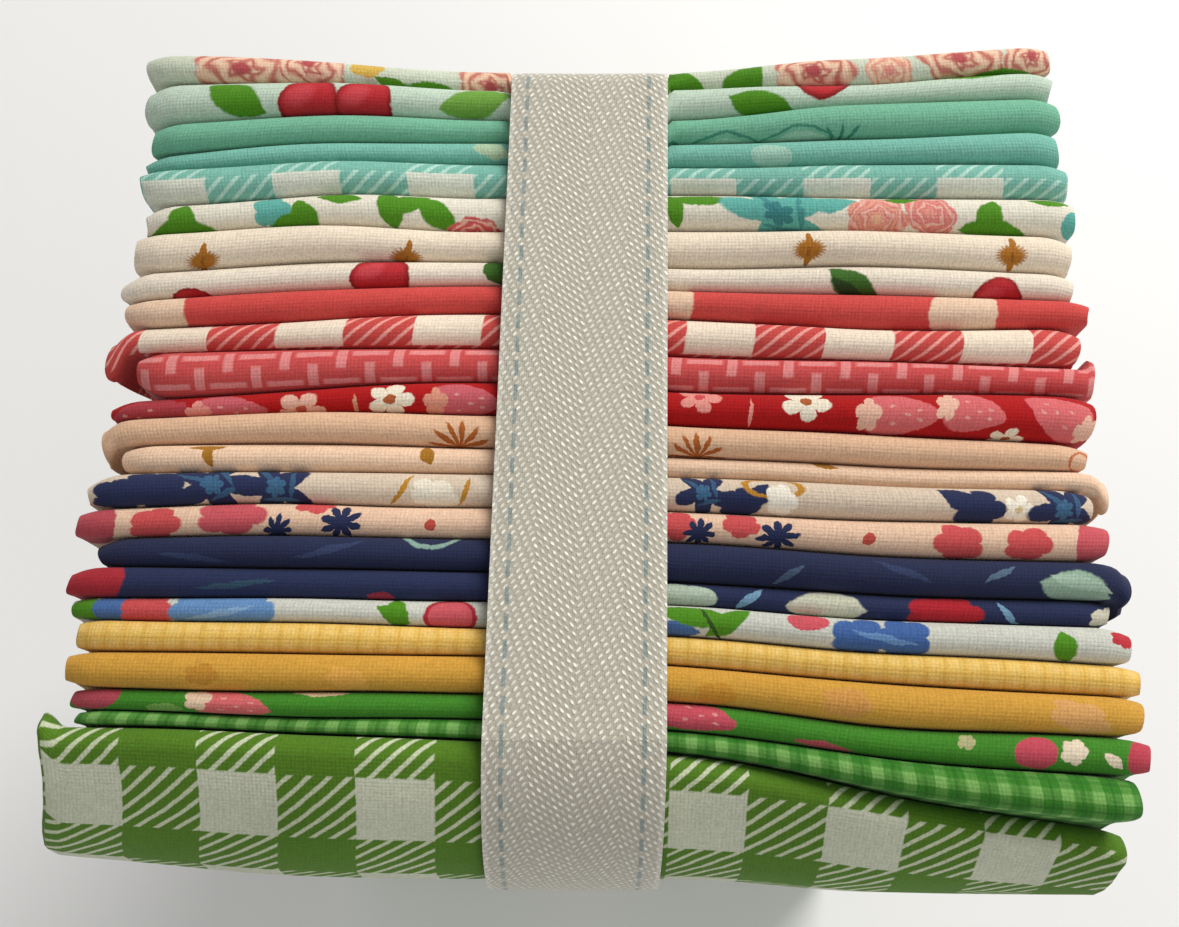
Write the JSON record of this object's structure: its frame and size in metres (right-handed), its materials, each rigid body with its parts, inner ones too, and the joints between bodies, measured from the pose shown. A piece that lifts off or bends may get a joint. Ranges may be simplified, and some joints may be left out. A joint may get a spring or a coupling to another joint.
{
  "type": "fat quarter bundle",
  "caption": "Stack of folded printed quilting cottons, held together by one woven tape round the middle; lies on its back edges with the rounded front folds up.",
  "frame": {"origin": "centre of the footprint at the surface it lies on, under the back edges", "axes": "+X along the folds, +Y up the stack of fat quarters, +Z from the back edges to the rounded front folds"},
  "size_m": [0.116, 0.1022, 0.1785],
  "materials": {
    "quarter_24_roses": "printed plain-weave cotton, matte",
    "quarter_23_cherries_aqua": "printed plain-weave cotton, matte",
    "quarter_22_mint": "printed plain-weave cotton, matte",
    "quarter_21_aqua": "printed plain-weave cotton, matte",
    "quarter_20_gingham_aqua": "printed plain-weave cotton, matte",
    "quarter_19_flowers_white": "printed plain-weave cotton, matte",
    "quarter_18_bees": "printed plain-weave cotton, matte",
    "quarter_17_cherries_white": "printed plain-weave cotton, matte",
    "quarter_16_dots_coral": "printed plain-weave cotton, matte",
    "quarter_15_gingham_coral": "printed plain-weave cotton, matte",
    "quarter_14_plaid_coral": "printed plain-weave cotton, matte",
    "quarter_13_strawberries_red": "printed plain-weave cotton, matte",
    "quarter_12_daisies_peach": "printed plain-weave cotton, matte",
    "quarter_11_gold_peach": "printed plain-weave cotton, matte",
    "quarter_10_flowers_navy": "printed plain-weave cotton, matte",
    "quarter_09_flowers_coral": "printed plain-weave cotton, matte",
    "quarter_08_navy_outline": "printed plain-weave cotton, matte",
    "quarter_07_navy_aqua": "printed plain-weave cotton, matte",
    "quarter_06_flowers_blue": "printed plain-weave cotton, matte",
    "quarter_05_plaid_yellow": "printed plain-weave cotton, matte",
    "quarter_04_mustard": "printed plain-weave cotton, matte",
    "quarter_03_strawberries_green": "printed plain-weave cotton, matte",
    "quarter_02_plaid_green": "printed plain-weave cotton, matte",
    "quarter_01_gingham_green": "printed plain-weave cotton, matte",
    "tape": "woven herringbone tape, matte"
  },
  "bodies": {
    "root": {"quarter_24_roses": "quarter_24_roses", "quarter_23_cherries_aqua": "quarter_23_cherries_aqua", "quarter_22_mint": "quarter_22_mint", "quarter_21_aqua": "quarter_21_aqua", "quarter_20_gingham_aqua": "quarter_20_gingham_aqua", "quarter_19_flowers_white": "quarter_19_flowers_white", "quarter_18_bees": "quarter_18_bees", "quarter_17_cherries_white": "quarter_17_cherries_white", "quarter_16_dots_coral": "quarter_16_dots_coral", "quarter_15_gingham_coral": "quarter_15_gingham_coral", "quarter_14_plaid_coral": "quarter_14_plaid_coral", "quarter_13_strawberries_red": "quarter_13_strawberries_red", "quarter_12_daisies_peach": "quarter_12_daisies_peach", "quarter_11_gold_peach": "quarter_11_gold_peach", "quarter_10_flowers_navy": "quarter_10_flowers_navy", "quarter_09_flowers_coral": "quarter_09_flowers_coral", "quarter_08_navy_outline": "quarter_08_navy_outline", "quarter_07_navy_aqua": "quarter_07_navy_aqua", "quarter_06_flowers_blue": "quarter_06_flowers_blue", "quarter_05_plaid_yellow": "quarter_05_plaid_yellow", "quarter_04_mustard": "quarter_04_mustard", "quarter_03_strawberries_green": "quarter_03_strawberries_green", "quarter_02_plaid_green": "quarter_02_plaid_green", "quarter_01_gingham_green": "quarter_01_gingham_green", "tape": "tape"}
  },
  "joints": []
}
